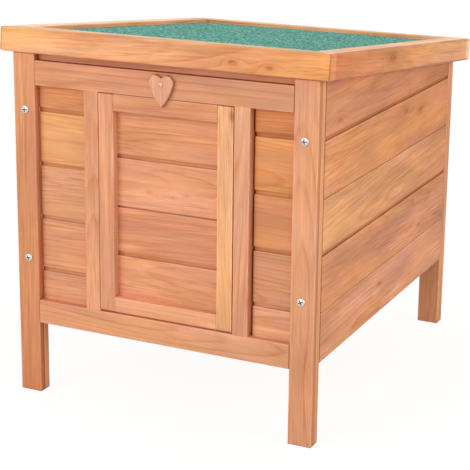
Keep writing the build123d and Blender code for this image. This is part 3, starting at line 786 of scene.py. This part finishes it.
# Floor and roof deck: sheets of plain plywood, of rotary-cut veneers with a wide, soft figure.
# The deck lies in the groove of the roof frame.
def make_plywood():
    """Veneer with its contours and fibres, and the plies showing at the edges."""
    material, tree, shader = new_material("plywood")
    lay, rings = from_mesh(tree, "lay"), from_mesh(tree, "rings")
    figure = streaks(tree, rings, (5, 40, 14), 3.0, 0.5)
    contour = sums(tree, "FRACT", sums(tree, "MULTIPLY", figure, 9.0))
    fibres = streaks(tree, rings, (20, 700, 900), 2.0, 0.6)
    face = blend_colour(tree, contour, srgb(222, 190, 146), srgb(205, 166, 120))
    face = blend_colour(tree, sums(tree, "MULTIPLY", fibres, 0.35), face, srgb(196, 154, 108))
    depth_in = parts_of(tree, lay)[2]
    plies = sums(tree, "FRACT", sums(tree, "MULTIPLY", depth_in, 280.0))
    ply = sums(tree, "GREATER_THAN", plies, 0.5)
    edge = blend_colour(tree, ply, srgb(188, 146, 100), srgb(158, 112, 72))
    half_thick = parts_of(tree, from_mesh(tree, "half"))[2]
    inside = sums(tree, "SUBTRACT", half_thick, sums(tree, "ABSOLUTE", depth_in))
    colour = blend_colour(tree, step_between(tree, inside, 0.0003, 0.0008), face, edge)
    rough = sums(tree, "MULTIPLY_ADD", fibres, 0.2, 0.55)
    dress(tree, shader, colour, rough, fibres, 0.4, 0.0002)
    shader.inputs["Specular IOR Level"].default_value = 0.3
    return material


plywood = make_plywood()
plank_axes["sheet"] = (right, back, up)
plank_axes["roof_sheet"] = (right, down_slope, roof_normal)
sheets = (("floor_panel", "hutch_body", "sheet"), ("roof_deck", "roof", "roof_sheet"))
for name, body, axes in sheets:
    stains = [(214, 178, 132)]
    plank(name, body, axes, stains, (30, 20), plywood, slot="plywood", bevel=0.0003)


# Roof felt: bitumen felt with green mineral granules rolled into it. It is laid on the deck
# inside the frame, a few millimetres below the frame's top.
def make_felt():
    """Granules of several greens with their own relief."""
    material, tree, shader = new_material("mineral felt")
    where = place(tree, "ShaderNodeTexCoord").outputs["Object"]
    grains = place(tree, "ShaderNodeTexVoronoi", {"Vector": where, "Scale": 480.0})
    values = {"Vector": where, "Scale": 240.0, "Detail": 3.0}
    coarse = place(tree, "ShaderNodeTexNoise", values).outputs["Fac"]
    values = {"Vector": where, "Scale": 9.0, "Detail": 3.0}
    wide = place(tree, "ShaderNodeTexNoise", values).outputs["Fac"]
    pick = place(tree, "ShaderNodeSeparateColor", {0: grains.outputs["Color"]}).outputs[0]
    shades = place(tree, "ShaderNodeValToRGB", {0: pick})
    ramp = shades.color_ramp
    ramp.interpolation = "CONSTANT"
    greens = (
        (0.0, (38, 112, 98)),
        (0.3, (66, 140, 124)),
        (0.6, (94, 162, 146)),
        (0.86, (140, 196, 182)),
    )
    for position, green in greens:
        stop = ramp.elements.new(position) if position else ramp.elements[0]
        stop.color = srgb(*green)
    ramp.elements.remove(ramp.elements[-1])
    tone = sums(tree, "MULTIPLY_ADD", coarse, 3.2, -0.5)
    tone = sums(tree, "MULTIPLY", tone, sums(tree, "MULTIPLY_ADD", wide, 0.16, 0.92))
    speckled = vector_sums(tree, "SCALE", shades.outputs[0], tone)
    rough = sums(tree, "MULTIPLY_ADD", coarse, 0.2, 0.78)
    relief = rest_of(tree, grains.outputs["Distance"])
    dress(tree, shader, speckled, rough, relief, 0.8, 0.0006)
    shader.inputs["Specular IOR Level"].default_value = 0.2
    return material


felt_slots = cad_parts["roof_felt"].data.materials
felt_slots.clear()
felt_slots.append(make_felt())


# Hinges and pins: zinc-plated steel, stamped and rolled, with fine scratches and dull patches.
# Two butt hinges carry the roof, and two hidden pins carry the door.
def make_steel(name, tint, roughness, recess_shade=0.15):
    """Zinc-plated steel. Its sunk faces take painted shade, the given share of its colour."""
    material, tree, shader = new_material(name)
    where = place(tree, "ShaderNodeTexCoord").outputs["Object"]
    values = {"Vector": where, "Scale": 420.0, "Detail": 4.0}
    cloud = place(tree, "ShaderNodeTexNoise", values).outputs["Fac"]
    scratches = streaks(tree, where, (2600, 300, 500), 2.0, 0.5)
    dull = srgb(*[int(value * 0.84) for value in tint])
    colour = blend_colour(tree, cloud, srgb(*tint), dull)
    in_recess = place(tree, "ShaderNodeAttribute", attribute_name="in_recess").outputs["Fac"]
    # The recess faces are painted with shade, that share of the steel's colour.
    recess_shade_colour = blend_colour(tree, 1.0, colour, (recess_shade, recess_shade, recess_shade, 1), "MULTIPLY")
    colour = blend_colour(tree, in_recess, colour, recess_shade_colour)
    rough = sums(tree, "MULTIPLY_ADD", cloud, 0.25, roughness)
    dress(tree, shader, colour, rough, scratches, 0.3, 0.00005)
    shader.inputs["Metallic"].default_value = 1.0
    return material


hinge_steel = make_steel("hinge steel", (205, 205, 208), 0.28)
for name in ("hinge_fixed_leaves", "hinge_pins", "hinge_moving_leaves", "door_pivot_pins"):
    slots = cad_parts[name].data.materials
    slots.clear()
    slots.append(hinge_steel)

# Screws: pan heads with a cross recess, one in the middle of the heart and two in each leg,
# driven through the post into the stile behind it, and flatter heads in the hinge leaves.
screw_steel = make_steel("screw steel", (228, 226, 222), 0.36)
yellow_steel = make_steel("yellow screw steel", (238, 198, 168), 0.5, 0.85)
hinge_screw_steel = make_steel("hinge screw steel", (206, 196, 168), 0.34, 0.12)
bench_scale = 100.0
head_sink = 0.0001
head_curve = 0.72
second_slot_deeper = 0.04
most_twist = 0.5
largest_facet = 4e-7
nearly_one = 0.999


def make_screw_tree():
    """Geometry nodes that set a pan-head screw on each point, facing the way the point says.

    The screw is cut out large, by bench_scale, and shrunk when it is set."""
    tree = bpy.data.node_groups.new("pan head screws", "GeometryNodeTree")
    sizes = (
        "Head Radius",
        "Head Height",
        "Recess Width",
        "Recess Length",
        "Recess Depth",
        "Shank Radius",
        "Shank Length",
    )
    sockets = [("Points", "NodeSocketGeometry")]
    sockets.extend((label, "NodeSocketFloat") for label in sizes)
    sockets.extend([("Seed", "NodeSocketInt"), ("Steel", "NodeSocketMaterial")])
    for label, kind in sockets:
        tree.interface.new_socket(label, in_out="INPUT", socket_type=kind)
    tree.interface.new_socket("Screws", in_out="OUTPUT", socket_type="NodeSocketGeometry")
    given = tree.nodes.new("NodeGroupInput").outputs
    result = tree.nodes.new("NodeGroupOutput")

    def made(kind, values=None, **settings):
        """The first output of a new node."""
        return place(tree, kind, values, **settings).outputs[0]

    def xyz(x=0.0, y=0.0, z=0.0):
        return made("ShaderNodeCombineXYZ", {0: x, 1: y, 2: z})

    radius, rise, depth = given["Head Radius"], given["Head Height"], given["Recess Depth"]
    ball = made("GeometryNodeMeshUVSphere", {"Segments": 40, "Rings": 24, "Radius": 1.0})
    x, y, z = parts_of(tree, made("GeometryNodeInputPosition"))
    level = sums(tree, "POWER", sums(tree, "MAXIMUM", z, 0.0), head_curve)
    inner = sums(tree, "MULTIPLY", x, radius)
    outer = sums(tree, "MULTIPLY", y, radius)
    seat = xyz(inner, outer, sums(tree, "MULTIPLY", level, rise))
    domed = made("GeometryNodeSetPosition", {"Geometry": ball, "Position": seat})
    values = {"Geometry": domed, "Distance": same_place * bench_scale}
    head = made("GeometryNodeMergeByDistance", values)

    foot = sums(tree, "SUBTRACT", rise, sums(tree, "MULTIPLY", depth, 0.5))
    foot = sums(tree, "ADD", foot, sums(tree, "MULTIPLY", rise, 0.25))
    tall = sums(tree, "ADD", depth, sums(tree, "MULTIPLY", rise, 0.5))
    lower_foot = sums(tree, "MULTIPLY_ADD", depth, -second_slot_deeper, foot)
    for wide, long, height in (
        ("Recess Width", "Recess Length", foot),
        ("Recess Length", "Recess Width", lower_foot),
    ):
        arm = made("GeometryNodeMeshCube", {"Size": xyz(given[wide], given[long], tall)})
        values = {"Geometry": arm, "Translation": xyz(z=height)}
        arm = made("GeometryNodeTransform", values)
        # The recess faces are marked for painted shade in the steel.
        values = {"Geometry": arm, "Name": "in_recess", "Value": 1.0}
        arm = made("GeometryNodeStoreNamedAttribute", values, domain="FACE")
        values = {"Mesh 1": head, "Mesh 2": arm}
        head = made("GeometryNodeMeshBoolean", values, operation="DIFFERENCE")

    length = given["Shank Length"]
    values = {"Vertices": 24, "Radius": given["Shank Radius"], "Depth": length}
    shank = made("GeometryNodeMeshCylinder", values)
    sink = sums(tree, "MULTIPLY_ADD", length, -0.5, head_sink * bench_scale)
    shank = made("GeometryNodeTransform", {"Geometry": shank, "Translation": xyz(z=sink)})
    whole = place(tree, "GeometryNodeJoinGeometry")
    tree.links.new(shank, whole.inputs[0])
    tree.links.new(head, whole.inputs[0])
    values = {"Name": "facing"}
    facing = made("GeometryNodeInputNamedAttribute", values, data_type="FLOAT_VECTOR")
    turn = made("FunctionNodeAlignRotationToVector", {"Vector": facing}, axis="Z")
    spin = place(tree, "FunctionNodeRandomValue", {"Seed": given["Seed"]}, data_type="FLOAT")
    angle = sums(tree, "MULTIPLY", spin.outputs[1], most_twist)
    twist = made("FunctionNodeAxisAngleToRotation", {"Axis": (0, 0, 1), "Angle": angle})
    both = made("FunctionNodeRotateRotation", {0: turn, 1: twist}, rotation_space="LOCAL")
    values = {
        "Points": given["Points"],
        "Instance": whole.outputs[0],
        "Rotation": both,
        "Scale": (1 / bench_scale, 1 / bench_scale, 1 / bench_scale),
    }
    spread = made("GeometryNodeInstanceOnPoints", values)
    real = made("GeometryNodeRealizeInstances", {"Geometry": spread})
    values = {"Geometry": real, "Material": given["Steel"]}
    tree.links.new(made("GeometryNodeSetMaterial", values), result.inputs[0])
    return tree


screw_tree = make_screw_tree()


def drive_screws(name, node, points, sizes, seed, steel, body="hutch_body"):
    """Screws at points, each with the way it faces, as one mesh that stands for a node."""
    spots, ways = zip(*points)
    mesh = bpy.data.meshes.new(name)
    mesh.from_pydata(spots, [], [])
    facing = mesh.attributes.new("facing", "FLOAT_VECTOR", "POINT").data
    for index, way in enumerate(ways):
        facing[index].vector = way
    holder = bpy.data.objects.new(name + "_points", mesh)
    bpy.context.collection.objects.link(holder)
    modifier = holder.modifiers.new("screws", "NODES")
    modifier.node_group = screw_tree
    chosen = {label: size * bench_scale for label, size in sizes.items()}
    chosen |= {"Seed": seed, "Steel": steel}
    for item in screw_tree.interface.items_tree:
        if item.in_out == "INPUT" and item.name in chosen:
            modifier[item.identifier] = chosen[item.name]
    settled = holder.evaluated_get(bpy.context.evaluated_depsgraph_get())
    solid = bpy.data.meshes.new_from_object(settled)
    holder.modifiers.clear()
    bpy.data.objects.remove(holder)
    weld(solid)
    for polygon in solid.polygons:
        level = abs(polygon.normal.y) > nearly_one
        polygon.use_smooth = polygon.area < largest_facet and not level
    piece = bpy.data.objects.new(name, solid)
    bpy.context.collection.objects.link(piece)
    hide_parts(node)
    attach(piece, body)


body_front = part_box("front_left_post")[0].y
body_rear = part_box("rear_right_post")[1].y
screw_side = 0.184
screw_heights = (0.1767, 0.3644)
corner_points = [
    ((side * screw_side, end, height), way)
    for end, way in ((body_front, (0, -1, 0)), (body_rear, (0, 1, 0)))
    for side in (-1, 1)
    for height in screw_heights
]
corner_sizes = {
    "Head Radius": 0.0051,
    "Head Height": 0.0026,
    "Recess Width": 0.0012,
    "Recess Length": 0.0062,
    "Recess Depth": 0.0012,
    "Shank Radius": 0.0017,
    "Shank Length": 0.0178,
}
drive_screws("corner_pan_screws", "corner_screws", corner_points, corner_sizes, 4, screw_steel)

heart_low, heart_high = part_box("heart_screw")
heart_middle = (heart_low + heart_high) / 2
button_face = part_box("heart_button")[0].y
washer_gap = 0.0003
heart_sizes = {
    "Head Radius": (heart_high.x - heart_low.x) / 2 + 0.0005,
    "Head Height": button_face - heart_low.y - washer_gap,
    "Recess Width": 0.0007,
    "Recess Length": 0.0036,
    "Recess Depth": 0.0005,
    "Shank Radius": 0.0012,
    "Shank Length": heart_high.y - button_face,
}
heart_points = [((heart_middle.x, button_face - washer_gap, heart_middle.z), (0, -1, 0))]
drive_screws("heart_pan_screw", "heart_screw", heart_points, heart_sizes, 2, yellow_steel)

hinge_sizes = {
    "Head Radius": 0.0029,
    "Head Height": 0.0006,
    "Recess Width": 0.0009,
    "Recess Length": 0.0036,
    "Recess Depth": 0.0005,
    "Shank Radius": 0.0013,
    "Shank Length": 0.0105,
}
hinge_screws = (("fixed", "hutch_body", back, 5), ("moving", "roof", -roof_normal, 6))
for leaf, body, way, seed in hinge_screws:
    node = f"hinge_{leaf}_screws"
    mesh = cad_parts[node].data.copy()
    weld(mesh)
    seats = []
    for numbers in islands(mesh):
        points = [mesh.vertices[n].co for n in numbers]
        top = max(point.dot(way) for point in points)
        rim = [point for point in points if point.dot(way) > top - on_face]
        seats.append((sum(rim, Vector()) / len(rim) - way * head_sink, way))
    bpy.data.meshes.remove(mesh)
    name = f"hinge_{leaf}_screw_heads"
    drive_screws(name, node, seats, hinge_sizes, seed, hinge_screw_steel, body)


# Studio: a pale floor that keeps the hutch's shadow, soft lamps from the front, the right and
# behind, and a plain white surround. The camera stands to the right of the front, a little above.
def seen_straight(tree):
    """1 for what the camera sees itself, or in metal or through glass."""
    rays = place(tree, "ShaderNodeLightPath").outputs
    mirrored = sums(tree, "MAXIMUM", rays["Is Glossy Ray"], rays["Is Transmission Ray"])
    return sums(tree, "MAXIMUM", rays["Is Camera Ray"], mirrored)


world = bpy.data.worlds.new("studio")
bpy.context.scene.world = world
world.use_nodes = True
sky = world.node_tree
sky.nodes.clear()
strength = sums(sky, "MULTIPLY_ADD", seen_straight(sky), 0.46, 0.54)
glow = place(sky, "ShaderNodeBackground", {"Color": (1, 1, 1, 1), "Strength": strength})
place(sky, "ShaderNodeOutputWorld", {0: glow.outputs[0]})

floor_reach = 30.0
floor_level = -0.0005
floor_corners = [
    (side * floor_reach, end * floor_reach, floor_level)
    for side, end in ((-1, -1), (1, -1), (1, 1), (-1, 1))
]
floor_mesh = bpy.data.meshes.new("studio_floor")
floor_mesh.from_pydata(floor_corners, [], [(0, 1, 2, 3)])
floor = bpy.data.objects.new("studio_floor", floor_mesh)
bpy.context.collection.objects.link(floor)
floor_material, floor_tree, floor_shader = new_material("studio floor")
floor_shader.inputs["Base Color"].default_value = (0.85, 0.85, 0.85, 1)
floor_shader.inputs["Roughness"].default_value = 0.9
floor_shader.inputs["Specular IOR Level"].default_value = 0.0
white = place(floor_tree, "ShaderNodeEmission", {"Color": (1, 1, 1, 1), "Strength": 1.06})
white_share = sums(floor_tree, "MULTIPLY", seen_straight(floor_tree), 0.86)
values = {0: white_share, 1: floor_shader.outputs[0], 2: white.outputs[0]}
lit = place(floor_tree, "ShaderNodeMixShader", values)
floor_tree.links.new(lit.outputs[0], floor_tree.nodes["Material Output"].inputs[0])
floor_mesh.materials.append(floor_material)

for name, toward, power in (
    ("front_lamp", (-0.35, -0.9, 0.35), 1.38),
    ("right_lamp", (0.95, -0.05, 0.35), 1.25),
    ("back_lamp", (-0.7, 0.7, 0.4), 0.9),
):
    lamp = bpy.data.lights.new(name, "SUN")
    lamp.energy = power
    lamp.angle = radians(40)
    holder = bpy.data.objects.new(name, lamp)
    holder.rotation_euler = Vector(toward).to_track_quat("Z", "Y").to_euler()
    bpy.context.collection.objects.link(holder)

camera = bpy.data.cameras.new("camera")
camera.sensor_width = 36.0
camera.lens = 109.633
camera.shift_y = -0.1298
camera.clip_end = 100.0
look_down, look_left, roll = radians(14.2084), radians(25.561), radians(0.637)
viewer = bpy.data.objects.new("camera", camera)
viewer.location = (0.78033, -1.68074, 0.71726)
turned = Euler((radians(90) - look_down, 0, look_left)).to_matrix()
viewer.rotation_euler = (turned @ Matrix.Rotation(roll, 3, "Z")).to_euler()
bpy.context.collection.objects.link(viewer)
bpy.context.scene.camera = viewer
bpy.context.scene.view_settings.view_transform = "Standard"
